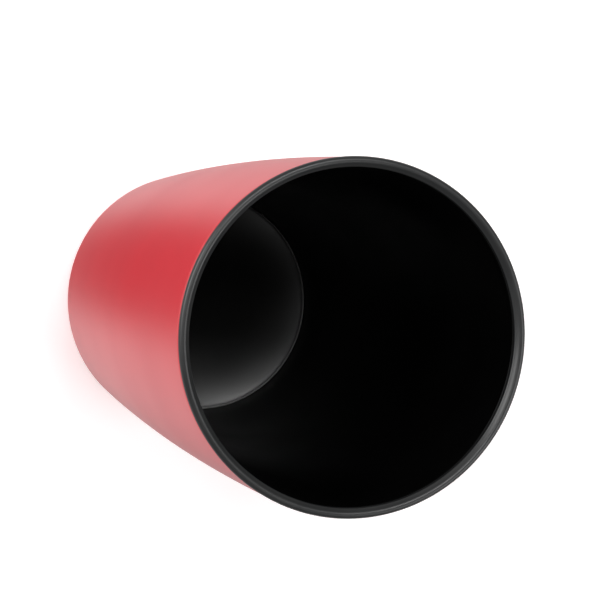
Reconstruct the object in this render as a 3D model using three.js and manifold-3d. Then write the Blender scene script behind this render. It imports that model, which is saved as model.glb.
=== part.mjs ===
// A juggling shaker cup: a deep, barrel-tapered cup with a coated metal shell, a black moulded liner,
// a soft lip ring and a weighted base that is closed from below by a screwed cap with a rubber foot.
// Millimetres, +Z up. The cup stands mouth up, its axis is Z, and the foot's face lies at Z = 0.
import * as THREE from "three";
import { mergeVertices } from "three/addons/utils/BufferGeometryUtils.js";
import Module from "manifold-3d";

const wasm = await Module();
wasm.setup();

// Driving dimensions
const HEIGHT = 169; // foot to the top of the lip
const LIP_RADIUS = 46; // the widest point of the lip
const GAP = 0.3; // clearance between pieces that meet
const LOOSE_GAP = 0.4; // clearance round the base cap, which drops into place
const SEGMENTS = 48; // steps round the cup
const SMALL_SEGMENTS = 24; // steps round the screw and its insert

// Shell: it narrows by a straight part and by a part that grows with the square of the depth.
const SHELL_MOUTH_RADIUS = LIP_RADIUS - 0.2;
const SHELL_TAPER = 1.2;
const SHELL_BARREL = 7.2;
const SHELL_WALL = 0.7;
const SHELL_FOOT_Z = 1; // the lowest point of the shell, just above the ground
const SHELL_CORNER = 3; // radius of the rounded corner at the base
const RECESS_RADIUS = 33.4; // the recess that the base cap sits in
const FLANGE_Z = 3; // underside of the flange that is turned in over the base cap
const FLANGE_HOLE = 30.5;
const BARREL_STEPS = 10;

// Liner: a straight cone inside the shell, with a seat for the pad and a skirt below its floor
const LINER_MOUTH_RADIUS = 43.2;
const LINER_MOUTH_WALL = 0.9;
const LINER_SEAT_RADIUS = 32.6; // inner radius of the straight seat, from the pad's rim down
const LINER_SKIRT_WALL = 1.5;
const PAD_RIM_Z = 18.6;
const LINER_FLOOR_Z = 14.6; // upper face of the floor
const LINER_FLOOR_THICKNESS = 1.6;
const BOSS_RADIUS = 6;
const BOSS_Z = 7.6;
const BOSS_HOLE_RADIUS = 3.6;
const BOSS_HOLE_Z = 12.6; // blind end of the hole

// Lip ring: a large outer lobe, a small inner lobe, and a stem in the gap between shell and liner
const BEAD_HEIGHT = 2.2;
const OUTER_LOBE = 1.1;
const INNER_LOBE = 0.65;
const INNER_LOBE_DROP = 0.75; // how far the inner lobe's top lies under the lip's top
const STEM_DEPTH = 8;

// Floor pad
const PAD_THICKNESS = 1.2; // at the middle of the dish
const PAD_CORNER = 0.45;
const PAD_STEPS = 8;

// Base cap, foot ring, weight, cushion, insert and screw
const CAP_FACE_Z = 1.2; // underside of the cap
const CAP_RIM_THICKNESS = 1.5;
const CAP_TOP_Z = 5.2;
const CAP_WEB_Z = 3.2; // top of the thin web between the cap's middle and its rim
const CAP_BOSS_RADIUS = 7;
const CAP_RIBS = 6;
const RIB_THICKNESS = 1.6;
const CAP_RING_RADIUS = 22; // inside of the ring that carries the foot's groove
const FOOT_GROOVE = { inner: 24, outer: 29, top: 3.2 };
const FOOT_EDGE = 0.8;
const COUNTERBORE = { radius: 5, top: 4 };
const SCREW_HOLE_RADIUS = 2.3;
const WEIGHT = { inner: 14, outer: 31.5, bottom: CAP_TOP_Z + GAP, thickness: 3, chamfer: 0.4 };
const CUSHION_INNER = 8;
const SCREW = { head: 4.2, headHeight: 2.2, shank: 1.9, end: 11.6, point: 0.5 };
const SOCKET = { radius: 1.5, depth: 1.3 };
const INSERT = { bore: 2.2, outer: 3.3, collar: 1.2, waist: 3, sunk: 0.1 };

const BEAD_Z = HEIGHT - BEAD_HEIGHT;
const EDGE_Z = BEAD_Z - GAP; // where the shell and the liner end under the bead

// Profiles are lists of [radius, z], going round the section anticlockwise.

/** Points of a round stretch about [r, z], from one angle to another, in degrees. */
function arc([r, z], radius, from, to, steps) {
  return Array.from({ length: steps + 1 }, (_, i) => {
    const angle = THREE.MathUtils.degToRad(from + ((to - from) * i) / steps);
    return [r + radius * Math.cos(angle), z + radius * Math.sin(angle)];
  });
}

/** A profile turned about Z. One that starts off the axis is closed on itself. */
function revolve(profile, segments = SEGMENTS) {
  const closed = profile[0][0] === 0 ? profile : [...profile, profile[0]];
  const points = closed.map(([r, z]) => new THREE.Vector2(r, z));
  return new THREE.LatheGeometry(points, segments).rotateX(Math.PI / 2);
}

/** A plain ring with a rectangular section. */
function ring(inner, outer, bottom, top) {
  return [
    [inner, bottom],
    [outer, bottom],
    [outer, top],
    [inner, top],
  ];
}

/** A closed geometry as a solid that can be joined and cut. */
function solid(geometry) {
  const bare = geometry.clone().deleteAttribute("normal").deleteAttribute("uv");
  const merged = mergeVertices(bare, 1e-4);
  const mesh = { numProp: 3 };
  mesh.vertProperties = new Float32Array(merged.attributes.position.array);
  mesh.triVerts = new Uint32Array(merged.index.array);
  return new wasm.Manifold(new wasm.Mesh(mesh));
}

/** The geometry of a joined or cut solid. */
function geometryOf(shape) {
  const { vertProperties, triVerts } = shape.getMesh();
  const geometry = new THREE.BufferGeometry();
  geometry.setAttribute("position", new THREE.BufferAttribute(vertProperties, 3));
  geometry.setIndex(new THREE.BufferAttribute(triVerts, 1));
  geometry.computeVertexNormals();
  return geometry;
}

/** Outer radius of the shell's barrel at a height. */
function shellRadius(z) {
  const depth = (HEIGHT - z) / (HEIGHT - SHELL_FOOT_Z);
  return SHELL_MOUTH_RADIUS - SHELL_TAPER * depth - SHELL_BARREL * depth ** 2;
}

/** Outer radius of the liner's cone at a height. The wall is thinner at the mouth than at the floor. */
function linerOuterRadius(z) {
  const share = (z - PAD_RIM_Z) / (EDGE_Z - PAD_RIM_Z);
  const skirt = LINER_SEAT_RADIUS + LINER_SKIRT_WALL;
  return THREE.MathUtils.lerp(skirt, LINER_MOUTH_RADIUS + LINER_MOUTH_WALL, share);
}

function outerShell() {
  // The corner's arc ends where its slope is the barrel's slope at the base.
  const slope = (SHELL_TAPER + 2 * SHELL_BARREL) / (HEIGHT - SHELL_FOOT_Z);
  const lean = Math.atan(slope);
  const barrelZ = SHELL_FOOT_Z + SHELL_CORNER * (1 - Math.sin(lean));
  const centre = [
    shellRadius(barrelZ) - SHELL_CORNER * Math.cos(lean),
    SHELL_FOOT_Z + SHELL_CORNER,
  ];
  const leanDegrees = THREE.MathUtils.radToDeg(lean);
  const heights = Array.from(
    { length: BARREL_STEPS },
    (_, i) => barrelZ + ((EDGE_Z - barrelZ) * (i + 1)) / BARREL_STEPS,
  );
  const outside = heights.map((z) => [shellRadius(z), z]);
  const inside = heights.map((z) => [shellRadius(z) - SHELL_WALL, z]).reverse();
  const returnInside = RECESS_RADIUS + SHELL_WALL;
  return revolve([
    [FLANGE_HOLE, FLANGE_Z],
    [RECESS_RADIUS, FLANGE_Z],
    [RECESS_RADIUS, SHELL_FOOT_Z],
    ...arc(centre, SHELL_CORNER, -90, -leanDegrees, 5),
    ...outside,
    ...inside,
    ...arc(centre, SHELL_CORNER - SHELL_WALL, -leanDegrees, -90, 4),
    [returnInside, SHELL_FOOT_Z + SHELL_WALL],
    [returnInside, FLANGE_Z + SHELL_WALL],
    [FLANGE_HOLE, FLANGE_Z + SHELL_WALL],
  ]);
}

function innerLiner() {
  const floorBottom = LINER_FLOOR_Z - LINER_FLOOR_THICKNESS;
  const skirtBottom = FLANGE_Z + SHELL_WALL + GAP;
  const skirtOuter = LINER_SEAT_RADIUS + LINER_SKIRT_WALL;
  return revolve([
    [0, BOSS_HOLE_Z],
    [BOSS_HOLE_RADIUS, BOSS_HOLE_Z],
    [BOSS_HOLE_RADIUS, BOSS_Z],
    [BOSS_RADIUS, BOSS_Z],
    [BOSS_RADIUS, floorBottom],
    [LINER_SEAT_RADIUS, floorBottom],
    [LINER_SEAT_RADIUS, skirtBottom],
    [skirtOuter, skirtBottom],
    [skirtOuter, PAD_RIM_Z],
    [linerOuterRadius(EDGE_Z), EDGE_Z],
    [LINER_MOUTH_RADIUS, EDGE_Z],
    [LINER_SEAT_RADIUS, PAD_RIM_Z],
    [LINER_SEAT_RADIUS, LINER_FLOOR_Z],
    [0, LINER_FLOOR_Z],
  ]);
}

function lipRing() {
  const outerCentre = [LIP_RADIUS - OUTER_LOBE, HEIGHT - OUTER_LOBE];
  const innerCentre = [LINER_MOUTH_RADIUS + INNER_LOBE, HEIGHT - INNER_LOBE_DROP - INNER_LOBE];
  const stemZ = BEAD_Z - STEM_DEPTH;
  return revolve([
    [linerOuterRadius(stemZ) + GAP, stemZ],
    [shellRadius(stemZ) - SHELL_WALL - GAP, stemZ],
    [shellRadius(BEAD_Z) - SHELL_WALL - GAP, BEAD_Z],
    ...arc(outerCentre, OUTER_LOBE, -90, 161, 11),
    ...arc(innerCentre, INNER_LOBE, 89, 180, 4),
    [LINER_MOUTH_RADIUS, BEAD_Z],
    [linerOuterRadius(BEAD_Z) + GAP, BEAD_Z],
  ]);
}

/** A disc with a rounded edge and a dished upper face, which falls with the cube of the radius. */
function floorPad() {
  const bottom = LINER_FLOOR_Z + GAP;
  const radius = LINER_SEAT_RADIUS - GAP;
  const dishRadius = radius - PAD_CORNER;
  const dishBottom = bottom + PAD_THICKNESS;
  const corner = [dishRadius, PAD_RIM_Z - PAD_CORNER];
  const dish = Array.from({ length: PAD_STEPS }, (_, i) => {
    const share = 1 - (i + 1) / PAD_STEPS;
    return [dishRadius * share, dishBottom + (PAD_RIM_Z - dishBottom) * share ** 3];
  });
  return revolve([
    [0, bottom],
    [dishRadius, bottom],
    [radius, bottom + PAD_CORNER],
    ...arc(corner, PAD_CORNER, 0, 90, 4),
    ...dish,
  ]);
}

/** The disc that closes the base, with a groove for the foot, a recess for the screw and radial ribs. */
function baseCap() {
  const rimRadius = RECESS_RADIUS - LOOSE_GAP;
  const rimTop = CAP_FACE_Z + CAP_RIM_THICKNESS;
  const spigot = FLANGE_HOLE - GAP;
  const boss = BOSS_Z - GAP;
  const disc = solid(
    revolve([
      [COUNTERBORE.radius, CAP_FACE_Z],
      [FOOT_GROOVE.inner, CAP_FACE_Z],
      [FOOT_GROOVE.inner, FOOT_GROOVE.top],
      [FOOT_GROOVE.outer, FOOT_GROOVE.top],
      [FOOT_GROOVE.outer, CAP_FACE_Z],
      [rimRadius, CAP_FACE_Z],
      [rimRadius, rimTop],
      [spigot, rimTop],
      [spigot, CAP_TOP_Z],
      [CAP_RING_RADIUS, CAP_TOP_Z],
      [CAP_RING_RADIUS, CAP_WEB_Z],
      [CAP_BOSS_RADIUS, CAP_WEB_Z],
      [CAP_BOSS_RADIUS, boss],
      [SCREW_HOLE_RADIUS, boss],
      [SCREW_HOLE_RADIUS, COUNTERBORE.top],
      [COUNTERBORE.radius, COUNTERBORE.top],
    ]),
  );
  const rooted = 0.5; // how far a rib runs into the boss, the ring and the web
  const ribStart = CAP_BOSS_RADIUS - rooted;
  const ribEnd = CAP_RING_RADIUS + rooted;
  const ribHeight = CAP_TOP_Z - CAP_WEB_Z + rooted;
  const ribs = Array.from({ length: CAP_RIBS }, (_, i) =>
    solid(
      new THREE.BoxGeometry(ribEnd - ribStart, RIB_THICKNESS, ribHeight)
        .translate((ribStart + ribEnd) / 2, 0, CAP_TOP_Z - ribHeight / 2)
        .rotateZ((2 * Math.PI * i) / CAP_RIBS),
    ),
  );
  return geometryOf(ribs.reduce((whole, rib) => whole.add(rib), disc));
}

function footRing() {
  const inner = FOOT_GROOVE.inner + GAP;
  const outer = FOOT_GROOVE.outer - GAP;
  return revolve([
    [inner + FOOT_EDGE, 0],
    [outer - FOOT_EDGE, 0],
    ...arc([outer - FOOT_EDGE, FOOT_EDGE], FOOT_EDGE, -60, 0, 2),
    [outer, FOOT_GROOVE.top - GAP],
    [inner, FOOT_GROOVE.top - GAP],
    ...arc([inner + FOOT_EDGE, FOOT_EDGE], FOOT_EDGE, 180, 240, 2),
  ]);
}

function baseWeight() {
  const { inner, outer, bottom, thickness, chamfer } = WEIGHT;
  const top = bottom + thickness;
  return revolve([
    [inner, bottom],
    [outer - chamfer, bottom],
    [outer, bottom + chamfer],
    [outer, top - chamfer],
    [outer - chamfer, top],
    [inner, top],
  ]);
}

function weightCushion() {
  const bottom = WEIGHT.bottom + WEIGHT.thickness + GAP;
  const top = LINER_FLOOR_Z - LINER_FLOOR_THICKNESS - GAP;
  return revolve(ring(CUSHION_INNER, WEIGHT.outer, bottom, top));
}

/** A brass sleeve with a collar at each end, which grip the boss on both sides of a narrower waist. */
function threadedInsert() {
  const { bore, outer, collar, waist, sunk } = INSERT;
  const bottom = BOSS_Z + sunk;
  const top = BOSS_HOLE_Z - GAP;
  return revolve(
    [
      [bore, bottom],
      [outer, bottom],
      [outer, bottom + collar],
      [waist, bottom + collar],
      [waist, top - collar],
      [outer, top - collar],
      [outer, top],
      [bore, top],
    ],
    SMALL_SEGMENTS,
  );
}

/** A screw whose domed head faces down in the cap's counterbore, with a hexagonal socket in the dome. */
function baseScrew() {
  const seat = COUNTERBORE.top - GAP;
  const headZ = seat - SCREW.headHeight;
  const dome = Array.from({ length: 6 }, (_, i) => {
    const angle = (Math.PI / 2) * (i / 5);
    return [SCREW.head * Math.sin(angle), seat - SCREW.headHeight * Math.cos(angle)];
  });
  const body = revolve(
    [
      ...dome,
      [SCREW.shank, seat],
      [SCREW.shank, SCREW.end - SCREW.point],
      [SCREW.shank - SCREW.point, SCREW.end],
      [0, SCREW.end],
    ],
    SMALL_SEGMENTS,
  );
  const socket = new THREE.CylinderGeometry(SOCKET.radius, SOCKET.radius, 2 * SOCKET.depth, 6)
    .rotateX(Math.PI / 2)
    .translate(0, 0, headZ);
  return geometryOf(solid(body).subtract(solid(socket)));
}

/** Finishes: a colour, a roughness and how metallic it is. */
const FINISHES = {
  redCoating: { color: 0xc8323c, roughness: 0.45, metalness: 0 },
  blackLiner: { color: 0x0b0b0c, roughness: 0.5, metalness: 0 },
  lipRubber: { color: 0x222324, roughness: 0.5, metalness: 0 },
  padRubber: { color: 0x121213, roughness: 0.55, metalness: 0 },
  capPlastic: { color: 0x151516, roughness: 0.6, metalness: 0 },
  footRubber: { color: 0x1b1b1c, roughness: 0.8, metalness: 0 },
  zincSteel: { color: 0xa9acb0, roughness: 0.4, metalness: 1 },
  foam: { color: 0x3a3b3d, roughness: 0.95, metalness: 0 },
  brass: { color: 0xc9a356, roughness: 0.35, metalness: 1 },
};

const cup = new THREE.Group();

function place(name, geometry, finish) {
  const mesh = new THREE.Mesh(geometry, new THREE.MeshStandardMaterial(finish));
  mesh.name = name;
  cup.add(mesh);
}

place("outer_shell", outerShell(), FINISHES.redCoating);
place("inner_liner", innerLiner(), FINISHES.blackLiner);
place("lip_ring", lipRing(), FINISHES.lipRubber);
place("floor_pad", floorPad(), FINISHES.padRubber);
place("base_cap", baseCap(), FINISHES.capPlastic);
place("foot_ring", footRing(), FINISHES.footRubber);
place("base_weight", baseWeight(), FINISHES.zincSteel);
place("weight_cushion", weightCushion(), FINISHES.foam);
place("threaded_insert", threadedInsert(), FINISHES.brass);
place("base_screw", baseScrew(), FINISHES.zincSteel);

export default cup;
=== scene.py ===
"""A juggling shaker cup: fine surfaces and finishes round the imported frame, on a pale studio floor.

Lengths are millimetres, apart from the distances and sizes of the lights, which are metres. Meshes
are in metres, as the frame is.
"""

import logging
import math
from dataclasses import dataclass
from enum import Enum

import bpy
import numpy as np
from mathutils import Matrix, Vector


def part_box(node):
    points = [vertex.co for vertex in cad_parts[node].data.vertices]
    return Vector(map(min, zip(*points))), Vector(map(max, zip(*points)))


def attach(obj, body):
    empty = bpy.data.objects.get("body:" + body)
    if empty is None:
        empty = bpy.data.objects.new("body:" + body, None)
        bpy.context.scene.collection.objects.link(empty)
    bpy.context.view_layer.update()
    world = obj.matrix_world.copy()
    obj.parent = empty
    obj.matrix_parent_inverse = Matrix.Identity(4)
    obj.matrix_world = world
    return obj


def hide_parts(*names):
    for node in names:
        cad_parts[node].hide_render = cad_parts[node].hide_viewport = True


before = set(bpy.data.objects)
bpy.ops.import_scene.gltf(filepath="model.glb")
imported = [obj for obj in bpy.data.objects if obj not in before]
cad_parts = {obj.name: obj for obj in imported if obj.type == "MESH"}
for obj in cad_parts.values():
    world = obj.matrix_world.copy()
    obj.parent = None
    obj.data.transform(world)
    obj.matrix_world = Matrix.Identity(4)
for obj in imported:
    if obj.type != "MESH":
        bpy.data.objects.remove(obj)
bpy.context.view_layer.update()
BODY = "root"
MM = 0.001
AROUND = 192  # steps round the cup
AROUND_LIP = 288  # steps round the lip, which is the widest piece and the nearest to the eye
AROUND_SCREW = 96  # steps round the screw
STEPS_PER_PITCH = 8  # rows along one pitch of a thread
SHARPEST = 0.02  # the least rounding of a corner
TINY = 1e-6  # a length too small to count
NEAR = 0.01  # how near to each other two lengths count as the same
PATCHES = (0.2, 0.85)  # the stretch of the noise over which the patches fade in
PAINTED_HIGHLIGHT_BLEND = 0.25  # width over which the pale ring painted on the pad's edge as a highlight fades in
LIGHTS_FACE = (0.0, 0.0, 80.0)  # the point that every light faces

log = logging.getLogger("shaker_cup")


# ---------------------------------------------------------------- frame sizes


def node_size(node: str) -> tuple[float, float, float]:
    """Reads a round CAD node's outer radius, lowest height and highest height.

    Args:
        node: the node's name.

    Returns:
        Radius, bottom and top, in millimetres.
    """
    low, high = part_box(node)
    return high.x / MM, low.z / MM, high.z / MM


# ------------------------------------------------------------------- profiles


def arc(centre: tuple[float, float], radius: float, start: float, stop: float, steps: int) -> np.ndarray:
    """Gives the points of a circular arc: centre + radius (cos a, sin a), a from start to stop.

    Args:
        centre: radius and height of the arc's centre.
        radius: the arc's radius.
        start: first angle in degrees, 0 pointing away from the axis.
        stop: last angle in degrees.
        steps: number of stretches between the two.

    Returns:
        An array of steps + 1 rows of radius and height.
    """
    angle = np.radians(np.linspace(start, stop, steps + 1))
    return np.column_stack((np.cos(angle), np.sin(angle))) * radius + centre


def rounded(corners: list[tuple[float, float, float]], closed: bool = True, steps: int = 5) -> np.ndarray:
    """Rounds each corner of an outline with an arc that touches both of its sides.

    With u and w the unit directions into and out of a corner and t the turn between them, the arc
    starts radius tan(t/2) before the corner. It is swept from one radius vector to the other by
    (sin((1-s)t) a + sin(st) b) / sin t for s from 0 to 1.

    Args:
        corners: rows of radius, height and rounding radius.
        closed: False where the outline starts and ends on the axis, which stay sharp.
        steps: stretches in each arc.

    Returns:
        An array of rows of radius and height.
    """
    table = np.array(corners, float)
    point, rounding = table[:, :2], np.maximum(table[:, 2], SHARPEST)[:, None]
    into = point - np.roll(point, 1, 0)
    out = np.roll(point, -1, 0) - point
    into /= np.maximum(np.linalg.norm(into, axis=1, keepdims=True), TINY)
    out /= np.maximum(np.linalg.norm(out, axis=1, keepdims=True), TINY)
    side = np.sign(into[:, 0] * out[:, 1] - into[:, 1] * out[:, 0])[:, None]
    turn = np.arccos(np.clip((into * out).sum(1, keepdims=True), -1, 1))
    reach = rounding * np.tan(turn / 2)
    left_in = np.column_stack((-into[:, 1], into[:, 0])) * side
    left_out = np.column_stack((-out[:, 1], out[:, 0])) * side
    centre = point - into * reach + left_in * rounding
    share = np.linspace(0, 1, steps + 1)[None, :, None]
    angle = turn[:, :, None]
    sweep = np.sin((1 - share) * angle) * -left_in[:, None] + np.sin(share * angle) * -left_out[:, None]
    arcs = centre[:, None] + sweep / np.sin(angle) * rounding[:, :, None]
    if closed:
        return arcs.reshape(-1, 2)
    return np.vstack((point[:1], arcs[1:-1].reshape(-1, 2), point[-1:]))


def filled(profile: np.ndarray, longest: float, closed: bool = True) -> np.ndarray:
    """Adds points along every long stretch of a profile, so that shading stays even across it.

    Each stretch of length L gets ceil(L / longest) equal parts.

    Args:
        profile: rows of radius and height.
        longest: the longest part that may stay.
        closed: True where the last point joins the first.

    Returns:
        The profile with the added points.
    """
    ends = np.roll(profile, -1, 0) if closed else profile[1:]
    starts = profile if closed else profile[:-1]
    parts = np.maximum(np.ceil(np.linalg.norm(ends - starts, axis=1) / longest), 1).astype(int)
    which = np.repeat(np.arange(len(parts)), parts)
    first = np.repeat(np.cumsum(parts) - parts, parts)
    share = ((np.arange(len(which)) - first) / parts[which])[:, None]
    points = starts[which] * (1 - share) + ends[which] * share
    return points if closed else np.vstack((points, profile[-1:]))


# --------------------------------------------------------------------- meshes


def mesh_object(name: str, points: np.ndarray, faces: np.ndarray, sharp: float = 40.0) -> bpy.types.Object:
    """Makes a smooth-shaded mesh object at the origin, with its place in its mesh.

    Args:
        name: the piece's name.
        points: rows of x, y and z in millimetres.
        faces: rows of four point numbers; a triangle repeats its last one.
        sharp: the angle in degrees above which an edge is shaded sharp.

    Returns:
        The new object, linked to the scene.
    """
    triangle = faces[:, 2] == faces[:, 3]
    sizes = np.where(triangle, 3, 4)
    keep = np.ones(faces.shape, bool)
    keep[triangle, 3] = False
    loops = faces[keep]
    mesh = bpy.data.meshes.new(name)
    mesh.vertices.add(len(points))
    mesh.vertices.foreach_set("co", (points * MM).astype(np.float32).ravel())
    mesh.loops.add(len(loops))
    mesh.loops.foreach_set("vertex_index", loops.astype(np.int32))
    mesh.polygons.add(len(faces))
    mesh.polygons.foreach_set("loop_start", (np.cumsum(sizes) - sizes).astype(np.int32))
    mesh.update(calc_edges=True)
    mesh.validate()
    mesh.shade_smooth()
    mesh.set_sharp_from_angle(angle=math.radians(sharp))
    piece = bpy.data.objects.new(name, mesh)
    bpy.context.scene.collection.objects.link(piece)
    return piece


def grid_faces(rows: int, columns: int, closed: bool) -> np.ndarray:
    """Numbers the quads of a grid whose columns join round.

    Args:
        rows: points along the profile.
        columns: points round the axis.
        closed: True where the last row joins the first.

    Returns:
        Rows of four point numbers, facing out for a profile that runs anticlockwise.
    """
    row = np.arange(rows if closed else rows - 1)[:, None]
    column = np.arange(columns)[None, :]
    below, above = row * columns, (row + 1) % rows * columns
    after = (column + 1) % columns
    return np.stack((below + column, below + after, above + after, above + column), -1).reshape(-1, 4)


def turned(
    profile: np.ndarray, around: int = AROUND, relief: np.ndarray | None = None
) -> tuple[np.ndarray, np.ndarray]:
    """Turns a profile about the cup's axis: (r cos a, r sin a, z) for a from 0 to a full turn.

    Args:
        profile: rows of radius and height, anticlockwise. One that starts and ends on the axis is
            closed by two poles, and any other is closed on itself.
        around: steps round the axis.
        relief: what is added to each point's radius, a row for each row of the profile.

    Returns:
        Points in millimetres, and faces as rows of four point numbers.
    """
    angle = np.linspace(0, 2 * math.pi, around, endpoint=False)
    poles = profile[0, 0] < TINY and profile[-1, 0] < TINY
    inner = slice(1, -1) if poles else slice(None)
    rings = profile[inner]
    radius = np.broadcast_to(rings[:, :1], (len(rings), around))
    if relief is not None:
        radius = radius + relief[inner]
    height = np.broadcast_to(rings[:, 1:], radius.shape)
    points = np.stack((radius * np.cos(angle), radius * np.sin(angle), height), -1).reshape(-1, 3)
    faces = grid_faces(len(rings), around, not poles)
    if not poles:
        return points, faces
    column = np.arange(around)
    after = (column + 1) % around
    first, last = len(points), len(points) + 1
    top = (len(rings) - 1) * around
    low_fan = np.stack((np.full(around, first), after, column, column), -1)
    high_fan = np.stack((np.full(around, last), top + column, top + after, top + after), -1)
    ends = np.array([[0, 0, profile[0, 1]], [0, 0, profile[-1, 1]]])
    return np.vstack((points, ends)), np.vstack((faces, low_fan, high_fan))


# ------------------------------------------------------------------ materials


def linear(code: str) -> tuple[float, float, float, float]:
    """Turns an sRGB hex colour into linear light with full alpha.

    Args:
        code: six hex digits.

    Returns:
        Red, green, blue and alpha.
    """
    values = [int(code[i : i + 2], 16) / 255 for i in (0, 2, 4)]
    bright = [v / 12.92 if v <= 0.04045 else ((v + 0.055) / 1.055) ** 2.4 for v in values]
    return bright[0], bright[1], bright[2], 1.0


def add(
    tree: bpy.types.NodeTree, kind: str, settings: dict | None = None, links: dict | None = None
) -> bpy.types.Node:
    """Adds a node to a tree, with its settings and links.

    Args:
        tree: the node tree.
        kind: the node's type name.
        settings: a value for each property, or for each input by its name or number.
        links: an output socket for each input, by its name or number.

    Returns:
        The new node.
    """
    node = tree.nodes.new(kind)
    for name, value in (settings or {}).items():
        if isinstance(name, int) or name in node.inputs:
            node.inputs[name].default_value = value
        else:
            setattr(node, name, value)
    for name, socket in (links or {}).items():
        tree.links.new(socket, node.inputs[name])
    return node


class Pattern(Enum):
    """What gives a surface its fine relief."""

    ORANGE_PEEL = "sprayed coat that has levelled"
    MOULD_GRAIN = "fine grain of a sparked mould"
    FOAM_CELLS = "open cells of cut foam"
    TURNING = "grooves left by a lathe"


@dataclass(frozen=True)
class Finish:
    """One real surface: what it is made of, how it was made and how it takes light.

    Attributes:
        name: the material's name.
        colour: base colour as sRGB hex.
        worn: colour of the faint patches where it has been handled, as sRGB hex.
        roughness: lowest and highest roughness, mixed by the patches.
        metallic: 1 for bare metal, 0 for everything else.
        ior: index of refraction; a metal keeps 1.5.
        specular: specular level, 0.5 where the index alone sets it.
        pattern: what the relief looks like.
        pattern_mm: spacing of the relief.
        relief_mm: height of the relief.
        patch_mm: size of the patches.
        painted_highlight_mm: distance from the axis past which the edge gets a painted highlight, a pale
            ring, or 0 for none.
        painted_highlight_colour: colour of that painted highlight, as sRGB hex.
    """

    name: str
    colour: str
    worn: str
    roughness: tuple[float, float]
    metallic: float = 0.0
    ior: float = 1.5
    specular: float = 0.5
    pattern: Pattern = Pattern.MOULD_GRAIN
    pattern_mm: float = 0.8
    relief_mm: float = 0.01
    patch_mm: float = 25.0
    painted_highlight_mm: float = 0.0
    painted_highlight_colour: str = "000000"

    def relief(self, tree: bpy.types.NodeTree, place: bpy.types.NodeSocket) -> bpy.types.NodeSocket:
        """Draws the relief as a height from 0 to 1.

        Args:
            tree: the material's node tree.
            place: object coordinates.

        Returns:
            The height's output socket.
        """
        per_metre = 1 / (self.pattern_mm * MM)
        if self.pattern is Pattern.FOAM_CELLS:
            settings = {"feature": "SMOOTH_F1", "Scale": per_metre, "Smoothness": 0.6}
            return add(tree, "ShaderNodeTexVoronoi", settings, {"Vector": place}).outputs["Distance"]
        if self.pattern is Pattern.TURNING:
            # Rings about the axis: a wave one pattern_mm long.
            settings = {
                "wave_type": "RINGS",
                "rings_direction": "Z",
                "Scale": per_metre * math.pi / 10,
                "Distortion": 0.4,
            }
            return add(tree, "ShaderNodeTexWave", settings, {"Vector": place}).outputs["Fac"]
        detail = 1.0 if self.pattern is Pattern.ORANGE_PEEL else 3.0
        settings = {"Scale": per_metre, "Detail": detail, "Roughness": 0.5}
        return add(tree, "ShaderNodeTexNoise", settings, {"Vector": place}).outputs["Fac"]

    def add_painted_highlight(
        self, tree: bpy.types.NodeTree, place: bpy.types.NodeSocket, colour: bpy.types.NodeSocket
    ) -> bpy.types.NodeSocket:
        """Paints a highlight on the edge: turns the colour to the pale highlight colour past a distance
        from the axis, fading in over a set width.

        Args:
            tree: the material's node tree.
            place: object coordinates.
            colour: the colour of the rest.

        Returns:
            The new colour's output socket.
        """
        level = add(tree, "ShaderNodeVectorMath", {"operation": "MULTIPLY", 1: (1, 1, 0)}, {0: place})
        away = add(tree, "ShaderNodeVectorMath", {"operation": "LENGTH"}, {0: level.outputs["Vector"]})
        reach = add(
            tree,
            "ShaderNodeMapRange",
            {"From Min": (self.painted_highlight_mm - PAINTED_HIGHLIGHT_BLEND) * MM, "From Max": self.painted_highlight_mm * MM},
            {"Value": away.outputs["Value"]},
        )
        mixed = add(
            tree,
            "ShaderNodeMix",
            {"data_type": "RGBA", 7: linear(self.painted_highlight_colour)},
            {0: reach.outputs["Result"], 6: colour},
        )
        return mixed.outputs[2]

    def material(self) -> bpy.types.Material:
        """Builds the material once, and gives the same one afterwards.

        Returns:
            The material.
        """
        found = bpy.data.materials.get(self.name)
        if found:
            return found
        made = bpy.data.materials.new(self.name)
        made.use_nodes = True
        tree = made.node_tree
        tree.nodes.clear()
        place = add(tree, "ShaderNodeTexCoord").outputs["Object"]
        patches = add(
            tree,
            "ShaderNodeTexNoise",
            {"Scale": 1 / (self.patch_mm * MM), "Detail": 1.5, "Roughness": 0.5},
            {"Vector": place},
        ).outputs["Fac"]
        soft = add(
            tree,
            "ShaderNodeMapRange",
            {"interpolation_type": "SMOOTHERSTEP", "From Min": PATCHES[0], "From Max": PATCHES[1]},
            {"Value": patches},
        ).outputs["Result"]
        colour = add(
            tree,
            "ShaderNodeMix",
            {"data_type": "RGBA", 6: linear(self.colour), 7: linear(self.worn)},
            {0: soft},
        ).outputs[2]
        # The pad's outer edge gets a pale ring of colour: a painted highlight, not wear.
        if self.painted_highlight_mm:
            colour = self.add_painted_highlight(tree, place, colour)
        rough = add(
            tree,
            "ShaderNodeMapRange",
            {"To Min": self.roughness[0], "To Max": self.roughness[1]},
            {"Value": soft},
        ).outputs["Result"]
        bump = add(
            tree,
            "ShaderNodeBump",
            {"Strength": 1.0, "Distance": self.relief_mm * MM},
            {"Height": self.relief(tree, place)},
        ).outputs["Normal"]
        shader = add(
            tree,
            "ShaderNodeBsdfPrincipled",
            {
                "Metallic": self.metallic,
                "IOR": self.ior,
                "Specular IOR Level": self.specular,
            },
            {"Base Color": colour, "Roughness": rough, "Normal": bump},
        )
        add(tree, "ShaderNodeOutputMaterial", None, {"Surface": shader.outputs["BSDF"]})
        return made


# Soft-touch lacquer on spun aluminium: satin to the eye, with a pale bloom where it turns away.
RED_COAT = Finish(
    "soft_touch_red_lacquer", "CB2732", "C52631", (0.28, 0.31),
    pattern=Pattern.ORANGE_PEEL, pattern_mm=1.4, relief_mm=0.004, patch_mm=40,
)
# Black polypropylene from a fine-grained mould: almost no colour of its own, and a dull gloss.
BLACK_LINER = Finish(
    "moulded_black_polypropylene", "030303", "050505", (0.28, 0.34), ior=1.49, specular=0.1,
    pattern_mm=0.5, relief_mm=0.001,
)
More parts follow.
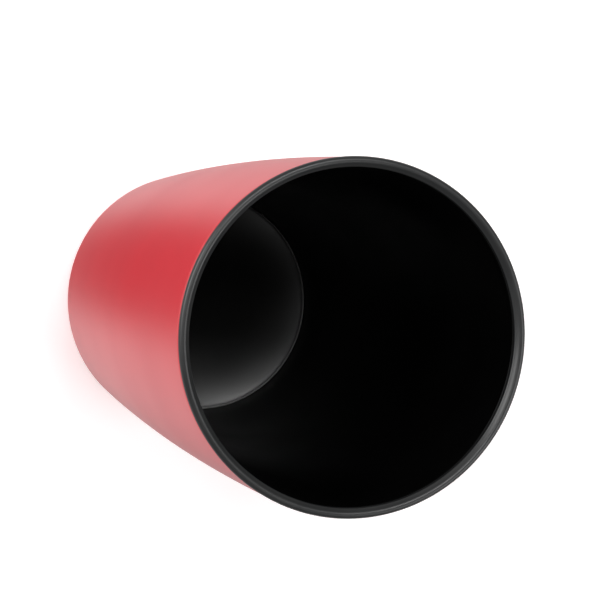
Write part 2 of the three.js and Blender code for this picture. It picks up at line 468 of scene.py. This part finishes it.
# Thermoplastic rubber: charcoal, with a soft broad shine.
LIP_RUBBER = Finish(
    "charcoal_thermoplastic_rubber", "141516", "181919", (0.36, 0.44), ior=1.52, specular=0.6,
    pattern_mm=0.4, relief_mm=0.003, patch_mm=12,
)
# Dense moulded rubber, polished by use: darker than the lip and shinier, with a pale ring painted on its
# outer edge as a highlight.
PAD_RUBBER = Finish(
    "polished_black_rubber", "040404", "060606", (0.28, 0.33), ior=1.52, specular=1.0,
    pattern_mm=0.6, relief_mm=0.004, patch_mm=18, painted_highlight_mm=32.1, painted_highlight_colour="B4B4B4",
)
# Black ABS from a spark-eroded mould: its grain scatters the light, so it looks dull and even.
CAP_PLASTIC = Finish(
    "grained_black_abs", "161617", "1B1B1C", (0.5, 0.6), ior=1.53,
    pattern_mm=0.5, relief_mm=0.02,
)
# Moulded nitrile rubber: matt black, greyed in patches where it rubs on tables.
FOOT_RUBBER = Finish(
    "nitrile_rubber", "1B1B1B", "2C2B2A", (0.62, 0.8), ior=1.52,
    pattern_mm=0.4, relief_mm=0.01, patch_mm=6,
)
# Turned mild steel with bright zinc plate: cool and bright, with fine rings that spread the shine.
ZINC_STEEL = Finish(
    "zinc_plated_steel", "A9ADB3", "9A9FA3", (0.28, 0.42), metallic=1.0,
    pattern=Pattern.TURNING, pattern_mm=0.35, relief_mm=0.006, patch_mm=8,
)
# Polyethylene foam, cut from sheet: its cells lie open, so it is pitted and has no shine.
CUSHION_FOAM = Finish(
    "cut_polyethylene_foam", "3A3B3E", "434447", (0.85, 0.95),
    pattern=Pattern.FOAM_CELLS, pattern_mm=0.7, relief_mm=0.15, patch_mm=9,
)
# Free-cutting brass, straight from the lathe: warm and bright, with fine rings.
INSERT_BRASS = Finish(
    "turned_brass", "CBA35A", "B58E4A", (0.28, 0.38), metallic=1.0,
    pattern=Pattern.TURNING, pattern_mm=0.3, relief_mm=0.004, patch_mm=4,
)


def finish_piece(piece: bpy.types.Object, finish: Finish, slot: str, *nodes: str) -> bpy.types.Object:
    """Gives a piece its material, puts it on the cup's body and hides the CAD nodes that it stands for.

    Args:
        piece: the new object.
        finish: its surface.
        slot: the record's material slot; not used.
        nodes: the CAD nodes that it replaces.

    Returns:
        The same object.
    """
    piece.data.materials.clear()
    piece.data.materials.append(finish.material())
    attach(piece, BODY)
    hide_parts(*nodes)
    log.info("%s: %d faces, %s", piece.name, len(piece.data.polygons), finish.name)
    return piece


# ------------------------------------------------------------- sub-assemblies


@dataclass
class Shell:
    """The spun metal shell with its red coat.

    Attributes:
        taper: how much the radius falls in a straight line from mouth to base.
        barrel: how much more it falls with the square of the depth.
        wall: thickness of the metal and its coat.
        corner: radius of the corner at the base.
        recess: radius of the recess for the base cap.
        flange_z: underside of the flange over the cap.
        flange_hole: radius of the hole in the flange.
        edge_share: rounding of the upper edge, as a share of the wall.
        rows: rows of points up the barrel.
    """

    taper: float = 1.2
    barrel: float = 7.2
    wall: float = 0.7
    corner: float = 3.0
    recess: float = 33.4
    flange_z: float = 3.0
    flange_hole: float = 30.5
    edge_share: float = 0.45
    rows: int = 80

    def __post_init__(self) -> None:
        """Reads the shell's place from the frame."""
        _, self.foot, self.edge = node_size("outer_shell")
        _, _, self.height = node_size("lip_ring")
        top, _, _ = node_size("outer_shell")
        depth = (self.height - self.edge) / (self.height - self.foot)
        self.mouth = top + self.taper * depth + self.barrel * depth**2

    def radius(self, z: np.ndarray) -> np.ndarray:
        """Gives the outer radius at a height: mouth - taper d - barrel d squared, d the depth share.

        Args:
            z: heights.

        Returns:
            Radii.
        """
        depth = (self.height - z) / (self.height - self.foot)
        return self.mouth - self.taper * depth - self.barrel * depth**2

    def profile(self) -> np.ndarray:
        """Draws the section: flange, recess, rounded corner, barrel, edge, and back inside.

        Returns:
            Rows of radius and height.
        """
        slope = (self.taper + 2 * self.barrel) / (self.height - self.foot)
        lean = math.atan(slope)
        start = self.foot + self.corner * (1 - math.sin(lean))
        corner_radius = float(self.radius(np.array(start))) - self.corner * math.cos(lean)
        centre = (corner_radius, self.foot + self.corner)
        edge_round = self.wall * self.edge_share
        heights = np.linspace(start, self.edge - edge_round, self.rows)[1:]
        outside = np.column_stack((self.radius(heights), heights))
        inside = outside[::-1] - (self.wall, 0)
        top = float(self.radius(np.array(self.edge)))
        edge = np.vstack(
            (
                arc((top - edge_round, self.edge - edge_round), edge_round, 20, 90, 4),
                arc((top - self.wall + edge_round, self.edge - edge_round), edge_round, 90, 160, 4),
            )
        )
        turned_in = self.recess + self.wall
        steps = 5
        recess = rounded(
            [
                (turned_in, self.foot + self.wall, 0.1),
                (turned_in, self.flange_z + self.wall, 0.35),
                (self.flange_hole, self.flange_z + self.wall, 0.3),
                (self.flange_hole, self.flange_z, 0.3),
                (self.recess, self.flange_z, 0.2),
                (self.recess, self.foot, 0.5),
                (corner_radius, self.foot, SHARPEST),
            ],
            steps=steps,
        )
        # The first and last corner meet the arcs beside them, so each keeps one point.
        recess = recess[steps:-steps]
        degrees = math.degrees(lean)
        return filled(
            np.vstack(
                (
                    arc(centre, self.corner, -90, -degrees, 10),
                    outside,
                    edge,
                    inside,
                    arc(centre, self.corner - self.wall, -degrees, -90, 8),
                    recess,
                )
            ),
            longest=2.5,
        )

    def build(self) -> None:
        """Makes the shell."""
        piece = mesh_object("red_shell", *turned(self.profile()))
        finish_piece(piece, RED_COAT, "red_coating", "outer_shell")


@dataclass
class Liner:
    """The moulded cup inside the shell, with the seat for the pad, the skirt and the boss.

    Attributes:
        mouth: inner radius at the top.
        mouth_wall: wall at the top.
        seat: radius of the pad's seat, which is straight from the pad's rim down.
        skirt_wall: wall round the seat and in the skirt.
        floor_z: upper face of the floor.
        floor_wall: thickness of the floor.
        boss: outer radius of the boss.
        boss_hole: radius of the hole in the boss.
        boss_hole_z: blind end of that hole.
        boss_z: lowest face of the boss.
    """

    mouth: float = 43.2
    mouth_wall: float = 0.9
    seat: float = 32.6
    skirt_wall: float = 1.5
    floor_z: float = 14.6
    floor_wall: float = 1.6
    boss: float = 6.0
    boss_hole: float = 3.6
    boss_hole_z: float = 12.6
    boss_z: float = 7.6

    def profile(self) -> np.ndarray:
        """Draws the section from the boss's hole, round the skirt and up the cone, and back.

        Returns:
            Rows of radius and height.
        """
        _, skirt_z, top = node_size("inner_liner")
        _, _, rim_z = node_size("floor_pad")
        under = self.floor_z - self.floor_wall
        skirt = self.seat + self.skirt_wall
        corners = [
            (0, self.boss_hole_z, 0),
            (self.boss_hole, self.boss_hole_z, 0.2),
            (self.boss_hole, self.boss_z, 0.25),
            (self.boss, self.boss_z, 0.4),
            (self.boss, under, 0.8),
            (self.seat, under, 0.6),
            (self.seat, skirt_z, 0.3),
            (skirt, skirt_z, 0.4),
            (skirt, rim_z, 2.0),
            (self.mouth + self.mouth_wall, top, 0.25),
            (self.mouth, top, 0.35),
            (self.seat, rim_z, 0.5),
            (self.seat, self.floor_z, 0.3),
            (0, self.floor_z, 0),
        ]
        return filled(rounded(corners, closed=False), longest=2.5, closed=False)

    def build(self) -> None:
        """Makes the liner."""
        piece = mesh_object("black_liner", *turned(self.profile()))
        finish_piece(piece, BLACK_LINER, "black_liner", "inner_liner")


@dataclass
class LipRing:
    """The soft ring on both edges: an outer lobe, an inner lobe and a stem between the walls.

    Attributes:
        inner: the ring's inner radius.
        bead: height of the bead above its flat underside.
        outer_lobe: radius of the outer lobe.
        inner_lobe: radius of the inner lobe.
        drop: how far the inner lobe's top lies under the outer lobe's.
        hollow: where the outer lobe ends and the inner one starts, in degrees.
        stem: inner and outer radius of the stem, at its lower and then at its upper end.
        chamfer: width of the chamfer under the inner lobe.
        stem_chamfer: width of the chamfers at the stem's lower end.
    """

    inner: float = 43.2
    bead: float = 2.2
    outer_lobe: float = 1.1
    inner_lobe: float = 0.65
    drop: float = 0.75
    hollow: tuple[float, float] = (137, 120)
    stem: tuple[tuple[float, float], tuple[float, float]] = ((43.88, 44.71), (44.42, 44.78))
    chamfer: float = 0.15
    stem_chamfer: float = 0.1

    def profile(self) -> np.ndarray:
        """Draws the section: stem, underside, both lobes with a soft hollow between, and back.

        Returns:
            Rows of radius and height.
        """
        outer, stem_z, top = node_size("lip_ring")
        under = top - self.bead
        outer_centre = (outer - self.outer_lobe, top - self.outer_lobe)
        inner_centre = (self.inner + self.inner_lobe, top - self.drop - self.inner_lobe)
        (low_in, low_out), (high_in, high_out) = self.stem
        outer_end, inner_start = self.hollow
        lobes = np.vstack(
            (
                arc(outer_centre, self.outer_lobe, -80, outer_end, 28),
                arc(inner_centre, self.inner_lobe, inner_start, 180, 12),
            )
        )
        stem = np.array(
            [
                (self.inner, under + self.chamfer),
                (self.inner + self.chamfer, under),
                (high_in, under),
                (low_in, stem_z + self.stem_chamfer),
                (low_in + self.stem_chamfer, stem_z),
                (low_out - self.stem_chamfer, stem_z),
                (low_out, stem_z + self.stem_chamfer),
                (high_out, under),
            ]
        )
        return filled(np.vstack((lobes, stem)), longest=0.5)

    def build(self) -> None:
        """Makes the ring."""
        piece = mesh_object("lip_bumper", *turned(self.profile(), AROUND_LIP))
        finish_piece(piece, LIP_RUBBER, "lip_rubber", "lip_ring")


@dataclass
class FloorPad:
    """The dished pad in the bottom of the cup.

    Attributes:
        corner: radius of the pad's edges.
        dish: how far the middle lies under the rim.
        swell: how much wider than its CAD node the soft pad spreads in its seat.
        rows: rows of points across the dish.
        under_rows: rows of points across the underside.
    """

    corner: float = 0.4
    dish: float = 2.5
    swell: float = 0.18
    rows: int = 40
    under_rows: int = 14

    def profile(self) -> np.ndarray:
        """Draws the section: flat underside, rounded edge, and a dish that falls with the cube of r.

        Returns:
            Rows of radius and height.
        """
        outer, bottom, rim = node_size("floor_pad")
        outer += self.swell
        flat = outer - self.corner
        radii = np.linspace(flat, 0, self.rows)[1:]
        dish = np.column_stack((radii, rim - self.dish * (1 - (radii / flat) ** 3)))
        under = np.column_stack((np.linspace(0, flat, self.under_rows), np.full(self.under_rows, bottom)))
        side = arc((flat, bottom + self.corner), self.corner, -80, 0, 5)
        edge = arc((flat, rim - self.corner), self.corner, 0, 90, 8)
        return np.vstack((under, side, edge, dish))

    def build(self) -> None:
        """Makes the pad."""
        piece = mesh_object("floor_pad_rubber", *turned(self.profile()))
        finish_piece(piece, PAD_RUBBER, "pad_rubber", "floor_pad")


@dataclass
class BaseCap:
    """The moulded cap under the base, with a groove for the foot, a recess for the screw and ribs.

    Attributes:
        groove: inner and outer radius of the foot's groove.
        groove_z: top of the groove.
        rim_z: top of the rim.
        spigot: outer radius of the ring that goes into the shell's flange.
        ring: inner radius of that ring.
        ring_z: top of the ring and of the ribs.
        web_z: top of the web between the ring and the boss.
        boss: outer radius of the boss.
        hole: radius of the screw's hole.
        recess: radius of the recess for the screw's head.
        recess_z: top of that recess.
        ribs: number of ribs.
        rib: thickness of a rib at its top.
        draft: how much wider a rib's side stands at its foot.
        between: columns of points between two ribs.
        lap: how far a rib's top stops short of the ring's face and of the boss's.
    """

    groove: tuple[float, float] = (24.0, 29.0)
    groove_z: float = 3.2
    rim_z: float = 2.7
    spigot: float = 30.2
    ring: float = 22.0
    ring_z: float = 5.2
    web_z: float = 3.2
    boss: float = 7.0
    hole: float = 2.3
    recess: float = 5.0
    recess_z: float = 4.0
    ribs: int = 6
    rib: float = 1.6
    draft: float = 0.08
    between: int = 26
    lap: float = 0.1

    def profile(self) -> tuple[np.ndarray, np.ndarray]:
        """Draws the section between two ribs, and the section through a rib.

        Both have the same rows. From the ring's edge to the boss, the second one runs level at the
        rib's top, in even steps, where the first one goes down to the web and up again.

        Returns:
            Rows of radius and height between the ribs, and through a rib.
        """
        rim, face, boss_z = node_size("base_cap")
        inner, outer = self.groove
        corners = [
            (self.recess, face, 0.3),
            (inner, face, 0.25),
            (inner, self.groove_z, 0.2),
            (outer, self.groove_z, 0.2),
            (outer, face, 0.25),
            (rim, face, 0.6),
            (rim, self.rim_z, 0.3),
            (self.spigot, self.rim_z, 0.15),
            (self.spigot, self.ring_z, 0.35),
            (self.ring, self.ring_z, 0.2),
            (self.ring, self.web_z, 0.4),
            (self.boss, self.web_z, 0.4),
            (self.boss, boss_z, 0.3),
            (self.hole, boss_z, 0.2),
            (self.hole, self.recess_z, 0.1),
            (self.recess, self.recess_z, 0.15),
        ]
        plain = filled(rounded(corners), longest=1.5)
        low = (plain[:, 1] < self.ring_z - NEAR) & (plain[:, 1] > self.web_z - NEAR)
        within = (plain[:, 0] < self.ring + NEAR) & (plain[:, 0] > self.boss - NEAR)
        web = low & within
        ribbed = plain.copy()
        ribbed[web, 0] = np.linspace(self.ring - self.lap, self.boss + self.lap, int(web.sum()))
        ribbed[web, 1] = self.ring_z
        return plain, ribbed

    def build(self) -> None:
        """Makes the cap on a grid whose columns keep to the ribs' straight sides.

        At radius r a side at distance w from the rib's middle stands at the angle asin(w / r).
        """
        plain, ribbed = self.profile()
        top = np.arcsin(self.rib / 2 / ribbed[:, :1])
        foot = np.arcsin((self.rib / 2 + self.draft) / plain[:, :1])
        sector = 2 * math.pi / self.ribs
        share = np.linspace(0, 1, self.between)[None, :]
        angle = np.hstack((-top, top, foot + (sector - 2 * foot) * share))
        on_rib = np.hstack((np.ones(2, bool), np.zeros(self.between, bool)))
        section = np.where(on_rib[None, :, None], ribbed[:, None], plain[:, None])
        angle = np.hstack([angle + sector * i for i in range(self.ribs)])
        radius = np.tile(section[..., 0], self.ribs)
        height = np.tile(section[..., 1], self.ribs)
        points = np.stack((radius * np.cos(angle), radius * np.sin(angle), height), -1).reshape(-1, 3)
        piece = mesh_object("ribbed_base_cap", points, grid_faces(*radius.shape, True))
        finish_piece(piece, CAP_PLASTIC, "cap_plastic", "base_cap")


@dataclass
class FootRing:
    """The rubber ring in the cap's groove that the cup stands on.

    Attributes:
        inner: inner radius.
        edge: radius of its lower edges.
        shoulder: radius of its upper edges.
        grips: mean radii of the two fine grooves in its face.
        grip: radius of such a groove.
    """

    inner: float = 24.3
    edge: float = 0.8
    shoulder: float = 0.2
    grips: tuple[float, float] = (25.9, 27.1)
    grip: float = 0.22

    def profile(self) -> np.ndarray:
        """Draws the section: a flat face with two fine grooves, round edges, and square shoulders.

        Returns:
            Rows of radius and height.
        """
        outer, face, top = node_size("foot_ring")
        low, high = face + self.edge, top - self.shoulder
        grooves = [arc((grip, face), self.grip, 180, 0, 8) for grip in self.grips]
        return filled(
            np.vstack(
                (
                    arc((self.inner + self.edge, low), self.edge, 180, 270, 10),
                    *grooves,
                    arc((outer - self.edge, low), self.edge, -90, 0, 10),
                    arc((outer - self.shoulder, high), self.shoulder, 0, 90, 4),
                    arc((self.inner + self.shoulder, high), self.shoulder, 90, 180, 4),
                )
            ),
            longest=0.6,
        )

    def build(self) -> None:
        """Makes the ring."""
        piece = mesh_object("rubber_foot", *turned(self.profile()))
        finish_piece(piece, FOOT_RUBBER, "foot_rubber", "foot_ring")


@dataclass
class Screw:
    """The domed socket screw that holds the base together.

    Attributes:
        head_z: underside of the head, which bears on the cap.
        shank: radius over the thread's crests.
        point: length of the chamfer at the tip.
        socket: radius to the corners of the hexagonal socket.
        socket_depth: depth of the socket.
        socket_cone: further depth of the drilled cone in its floor.
        socket_rim: width of the rim between the socket's corners and the dome.
        head_edge: width that the head's edge is drawn in under the dome.
        neck: radius of the fillet between the head and the shank.
        plain: length of the shank from the head to the thread.
        pitch: pitch of the thread.
        thread: depth of the thread.
        break_edge: width of a broken edge.
        dome_rows: rows of points down the dome.
    """

    head_z: float = 3.7
    shank: float = 1.9
    point: float = 0.5
    socket: float = 1.5
    socket_depth: float = 1.3
    socket_cone: float = 0.25
    socket_rim: float = 0.12
    head_edge: float = 0.15
    neck: float = 0.3
    plain: float = 0.7
    pitch: float = 0.7
    thread: float = 0.3
    break_edge: float = 0.1
    dome_rows: int = 22

    def build(self) -> None:
        """Makes the screw.

        The dome is a quarter of an ellipse. In the socket, the radius is the circle's times
        cos 30 / cos(a), with a the angle from the nearest flat's middle. Along the thread, the
        radius falls by a triangle wave of z / pitch - a / full turn.
        """
        head, low, tip = node_size("base_screw")
        across = self.socket * math.cos(math.pi / 6)
        rise = self.head_z - low
        start = math.degrees(math.asin((self.socket + self.socket_rim) / head))
        turn = np.radians(np.linspace(start, 90, self.dome_rows))
        dome = np.column_stack((head * np.sin(turn), self.head_z - rise * np.cos(turn)))
        floor_z = low + self.socket_depth
        mouth_z = dome[0, 1] + self.socket_rim / 2
        socket = np.array(
            [
                (0, floor_z + self.socket_cone),
                (self.socket / 2, floor_z),
                (self.socket - self.break_edge, floor_z),
                (self.socket, floor_z - self.break_edge),
                (self.socket, low + self.socket_depth / 2),
                (self.socket, mouth_z),
            ]
        )
        bearing_inner = self.shank + 4 * self.neck
        bearing = np.array([(head - self.head_edge, self.head_z), (bearing_inner, self.head_z)])
        neck = arc((self.shank + self.neck, self.head_z + self.neck), self.neck, 270, 180, 4)
        heights = np.arange(self.head_z + self.plain, tip - self.point, self.pitch / STEPS_PER_PITCH)
        shank = np.column_stack((np.full(len(heights), self.shank), heights))
        end = np.array(
            [
                (self.shank - self.thread, tip - self.point + self.break_edge),
                (self.shank - self.point, tip),
                (0, tip),
            ]
        )
        profile = np.vstack((socket, dome, bearing, neck, shank, end))
        angle = np.linspace(0, 2 * math.pi, AROUND_SCREW, endpoint=False)
        flat = np.abs((angle % (math.pi / 3)) - math.pi / 6)
        hexagon = across / np.cos(flat) / self.socket - 1
        relief = np.zeros((len(profile), AROUND_SCREW))
        relief[1 : len(socket)] = profile[1 : len(socket), :1] * hexagon
        first = len(profile) - len(end) - len(shank)
        phase = (heights[:, None] / self.pitch - angle / (2 * math.pi)) % 1
        fade = np.minimum(1, np.minimum(heights - heights[0], heights[-1] - heights) / self.pitch)[:, None]
        relief[first : first + len(shank)] = -self.thread * np.abs(2 * phase - 1) * fade
        piece = mesh_object("base_socket_screw", *turned(profile, AROUND_SCREW, relief), sharp=30)
        finish_piece(piece, ZINC_STEEL, "zinc_steel", "base_screw")


@dataclass
class Insert:
    """The knurled brass sleeve in the liner's boss.

    Attributes:
        bore: radius of the bore over the thread's crests.
        collar: height of each knurled collar.
        waist: radius between the collars.
        teeth: number of teeth round a collar.
        tooth: depth of a tooth.
        tooth_run: how far under the collar's radius a tooth gets its full depth.
        pitch: pitch of the thread.
        thread: depth of the thread.
        lead: length at each end of the bore that has no thread.
    """

    bore: float = 2.2
    collar: float = 1.2
    waist: float = 3.0
    teeth: int = 24
    tooth: float = 0.16
    tooth_run: float = 0.05
    pitch: float = 0.7
    thread: float = 0.3
    lead: float = 0.2

    def build(self) -> None:
        """Makes the sleeve.

        On the collars the radius falls by tooth |2 f - 1|, with f the fraction of teeth a / full
        turn. In the bore it grows by a triangle wave of z / pitch - a / full turn.
        """
        outer, low, top = node_size("threaded_insert")
        around = self.teeth * 6
        corners = [
            (self.bore, low, 0.12),
            (outer, low, 0.15),
            (outer, low + self.collar, 0.12),
            (self.waist, low + self.collar, 0.1),
            (self.waist, top - self.collar, 0.1),
            (outer, top - self.collar, 0.12),
            (outer, top, 0.15),
            (self.bore, top, 0.12),
        ]
        profile = filled(rounded(corners, steps=3), longest=self.pitch / STEPS_PER_PITCH)
        angle = np.linspace(0, 2 * math.pi, around, endpoint=False)
        radius, height = profile[:, :1], profile[:, 1:]
        knurl = np.abs(2 * ((self.teeth * angle / (2 * math.pi)) % 1) - 1)
        stands_out = (radius - self.waist) / (outer - self.waist - self.tooth_run)
        relief = -self.tooth * knurl * np.clip(stands_out, 0, 1)
        phase = (height / self.pitch - angle / (2 * math.pi)) % 1
        reach = np.minimum(height - low - self.lead, top - self.lead - height) / self.pitch
        in_bore = np.where(radius < self.bore + NEAR, np.clip(reach, 0, 1), 0)
        relief = relief + self.thread * np.abs(2 * phase - 1) * in_bore
        piece = mesh_object("knurled_insert", *turned(profile, around, relief), sharp=30)
        finish_piece(piece, INSERT_BRASS, "insert_brass", "threaded_insert")


@dataclass
class Ballast:
    """The steel weight in the base and the foam ring that keeps it quiet.

    Attributes:
        weight_inner: inner radius of the weight.
        chamfer: width of its chamfers.
        chamfer_edge: rounding of the edges of a chamfer.
        foam_inner: inner radius of the foam.
        foam_edge: radius of the foam's edges, which give a little.
        swell: how far the foam's sides stand out between its edges.
        rows: points along each of the foam's sides.
    """

    weight_inner: float = 14.0
    chamfer: float = 0.4
    chamfer_edge: float = 0.08
    foam_inner: float = 8.0
    foam_edge: float = 0.5
    swell: float = 0.12
    rows: int = 25

    def weight(self) -> None:
        """Makes the weight: a flat ring with chamfered edges."""
        outer, low, top = node_size("base_weight")
        cut, edge = self.chamfer, self.chamfer_edge
        corners = [
            (self.weight_inner + cut, low, edge),
            (outer - cut, low, edge),
            (outer, low + cut, edge),
            (outer, top - cut, edge),
            (outer - cut, top, edge),
            (self.weight_inner + cut, top, edge),
            (self.weight_inner, top - cut, edge),
            (self.weight_inner, low + cut, edge),
        ]
        profile = filled(rounded(corners, steps=2), longest=1.5)
        piece = mesh_object("steel_ring_weight", *turned(profile))
        finish_piece(piece, ZINC_STEEL, "zinc_steel", "base_weight")

    def cushion(self) -> None:
        """Makes the foam ring: its sides stand out by swell (1 - u squared), u from -1 to 1 across them."""
        outer, low, top = node_size("weight_cushion")
        edge, swell = self.foam_edge, self.swell
        inner = self.foam_inner + swell
        wide = outer - swell
        low, top = low + swell, top - swell
        across = np.linspace(-1, 1, self.rows)
        bulge = swell * (1 - across**2)
        middle, half = (inner + wide) / 2, (wide - inner) / 2 - edge
        level, rise = (low + top) / 2, (top - low) / 2 - edge
        profile = np.vstack(
            (
                np.column_stack((middle + half * across, low - bulge)),
                arc((wide - edge, low + edge), edge, -80, -10, 4),
                np.column_stack((wide + bulge, level + rise * across)),
                arc((wide - edge, top - edge), edge, 10, 80, 4),
                np.column_stack((middle - half * across, top + bulge)),
                arc((inner + edge, top - edge), edge, 100, 170, 4),
                np.column_stack((inner - bulge, level - rise * across)),
                arc((inner + edge, low + edge), edge, 190, 260, 4),
            )
        )
        piece = mesh_object("foam_ring", *turned(profile))
        finish_piece(piece, CUSHION_FOAM, "cushion_foam", "weight_cushion")

    def build(self) -> None:
        """Makes both rings."""
        self.weight()
        self.cushion()


# --------------------------------------------------------------------- studio


@dataclass(frozen=True)
class Softbox:
    """A rectangular softbox that faces the cup.

    Attributes:
        name: the light's name.
        azimuth: its side of the cup in degrees, 0 towards +X and 90 towards +Y.
        elevation: its height above the horizon in degrees.
        distance: its distance in metres.
        size: its width and height in metres.
        power: its power in watts.
    """

    name: str
    azimuth: float
    elevation: float
    distance: float
    size: tuple[float, float]
    power: float

    def hang(self) -> None:
        """Hangs the light, facing the point that all lights face."""
        data = bpy.data.lights.new(self.name, "AREA")
        data.shape, data.energy = "RECTANGLE", self.power
        data.size, data.size_y = self.size
        lamp = bpy.data.objects.new(self.name, data)
        bpy.context.scene.collection.objects.link(lamp)
        turn, rise = math.radians(self.azimuth), math.radians(self.elevation)
        way = Vector((math.cos(turn) * math.cos(rise), math.sin(turn) * math.cos(rise), math.sin(rise)))
        lamp.location = way * self.distance + Vector(LIGHTS_FACE) * MM
        lamp.rotation_euler = way.to_track_quat("Z", "Y").to_euler()


LIGHTS = (
    Softbox("key", 186, 64, 1.6, (0.6, 0.4), 7.8),
    Softbox("left", -99, 25, 1.2, (0.7, 0.5), 8),
    Softbox("right", 80, 45, 1.6, (1.2, 0.8), 10),
    Softbox("ring_a", -135, 66, 1.6, (0.4, 0.25), 2.2),
    Softbox("ring_b", -90, 66, 1.6, (0.4, 0.25), 1.25),
    Softbox("ring_c", 0, 66, 1.6, (0.4, 0.25), 0.3),
)


@dataclass
class Studio:
    """The pale floor, the soft lights and the camera.

    Attributes:
        lens: focal length for a 36 mm sensor.
        off_axis: how far the camera stands from the cup's axis.
        above: the camera's height above the ground.
        aim: the point that the camera looks at.
        roll: turn of the picture about the line of sight, in degrees.
        walls: brightness of the walls.
        ceiling: brightness straight above, so that the mouth looks up at little light.
        dark_from: rise of a direction (its Z) at which the walls start to darken.
        dark_to: rise at which the ceiling begins.
        surround: brightness of the lower surround, which the upright side mirrors.
        gap: the direction of the one dark gap in that surround.
        gap_inner: distance from that direction within which it is dark.
        gap_outer: distance past which it is bright again.
        dim_side: the direction in which the surround is dimmer.
        dim_from: how far a direction leans that way where it starts to dim.
        dim_to: how far it leans where it is dimmest.
        dim: the share of brightness left there.
        glow: how brightly the floor glows by itself, which keeps shadows on it pale.
        floor_reach: distance from the cup to the floor's sides.
    """

    lens: float = 178.1
    off_axis: float = 238.4
    above: float = 879.7
    aim: tuple[float, float, float] = (-6.72, 4.81, 100.0)
    roll: float = 101.78
    walls: float = 0.3
    ceiling: float = 0.0
    dark_from: float = 0.88
    dark_to: float = 0.965
    surround: float = 0.8
    gap: tuple[float, float, float] = (-0.07, -0.22, -0.973)
    gap_inner: float = 0.12
    gap_outer: float = 0.29
    dim_side: tuple[float, float, float] = (0.707, 0.707, 0.0)
    dim_from: float = 0.17
    dim_to: float = 0.3
    dim: float = 0.68
    glow: float = 0.35
    floor_reach: float = 6000.0

    def camera(self) -> None:
        """Places the camera, looking down into the mouth."""
        data = bpy.data.cameras.new("camera")
        data.lens, data.sensor_width = self.lens, 36.0
        data.clip_start, data.clip_end = 0.01, 50.0
        camera = bpy.data.objects.new("camera", data)
        bpy.context.scene.collection.objects.link(camera)
        place = Vector((0, -self.off_axis, self.above)) * MM
        sight = Vector(self.aim) * MM - place
        level = sight.to_track_quat("-Z", "Y").to_matrix().to_4x4()
        turn = Matrix.Rotation(math.radians(self.roll), 4, "Z")
        camera.matrix_world = Matrix.Translation(place) @ level @ turn
        bpy.context.scene.camera = camera

    def floor(self) -> None:
        """Lays a wide light table of opal acrylic at the foot's height.

        The cup's upright side doesn't mirror it. It mirrors the room's surround instead, as it
        would the dark and pale cards that stand round a cup in a studio.
        """
        far = self.floor_reach
        points = np.array([(-far, -far, 0), (far, -far, 0), (far, far, 0), (-far, far, 0)])
        piece = mesh_object("studio_floor", points, np.array([[0, 1, 2, 3]]))
        material = bpy.data.materials.new("lit_opal_acrylic")
        material.use_nodes = True
        shader = material.node_tree.nodes["Principled BSDF"]
        shader.inputs["Base Color"].default_value = linear("F4F4F4")
        shader.inputs["Roughness"].default_value = 0.9
        shader.inputs["Emission Color"].default_value = linear("FFFFFF")
        shader.inputs["Emission Strength"].default_value = self.glow
        piece.data.materials.append(material)
        piece.visible_glossy = False

    def room(self) -> None:
        """Gives the room pale walls, a dark ceiling and a pale lower surround with one dark gap.

        Brightness falls smoothly with the rise of a direction from the walls to the ceiling. Below
        the horizon it grows smoothly with the distance from the gap's direction, and is multiplied
        by a share that falls with the lean towards dim_side.
        """
        world = bpy.data.worlds.new("studio")
        world.use_nodes = True
        tree = world.node_tree
        way = add(tree, "ShaderNodeTexCoord").outputs["Generated"]
        rise = add(tree, "ShaderNodeSeparateXYZ", None, {0: way})
        upper = add(
            tree,
            "ShaderNodeMapRange",
            {
                "interpolation_type": "SMOOTHSTEP",
                "From Min": self.dark_from,
                "From Max": self.dark_to,
                "To Min": self.walls,
                "To Max": self.ceiling,
            },
            {"Value": rise.outputs["Z"]},
        )
        off = add(tree, "ShaderNodeVectorMath", {"operation": "DISTANCE", 1: self.gap}, {0: way})
        lower = add(
            tree,
            "ShaderNodeMapRange",
            {
                "interpolation_type": "SMOOTHSTEP",
                "From Min": self.gap_inner,
                "From Max": self.gap_outer,
                "To Max": self.surround,
            },
            {"Value": off.outputs["Value"]},
        )
        aside = add(tree, "ShaderNodeVectorMath", {"operation": "DOT_PRODUCT", 1: self.dim_side}, {0: way})
        fade = add(
            tree,
            "ShaderNodeMapRange",
            {"From Min": self.dim_from, "From Max": self.dim_to, "To Min": 1.0, "To Max": self.dim},
            {"Value": aside.outputs["Value"]},
        )
        dimmed = add(
            tree,
            "ShaderNodeMath",
            {"operation": "MULTIPLY"},
            {0: lower.outputs["Result"], 1: fade.outputs["Result"]},
        )
        below = add(tree, "ShaderNodeMath", {"operation": "LESS_THAN", 1: 0.0}, {0: rise.outputs["Z"]})
        strength = add(
            tree,
            "ShaderNodeMix",
            {"data_type": "FLOAT"},
            {0: below.outputs["Value"], 2: upper.outputs["Result"], 3: dimmed.outputs["Value"]},
        )
        background = tree.nodes["Background"]
        background.inputs["Color"].default_value = (1, 1, 1, 1)
        tree.links.new(strength.outputs[0], background.inputs["Strength"])
        bpy.context.scene.world = world

    def build(self) -> None:
        """Sets up the studio."""
        self.room()
        bpy.context.scene.view_settings.view_transform = "Standard"
        self.camera()
        self.floor()
        for light in LIGHTS:
            light.hang()


def main() -> None:
    """Builds the studio and then the cup, piece by piece."""
    logging.basicConfig(level=logging.INFO, format="%(name)s %(message)s")
    Studio().build()
    for assembly in (Shell, Liner, LipRing, FloorPad, BaseCap, FootRing, Screw, Insert, Ballast):
        assembly().build()


if __name__ == "__main__":
    main()
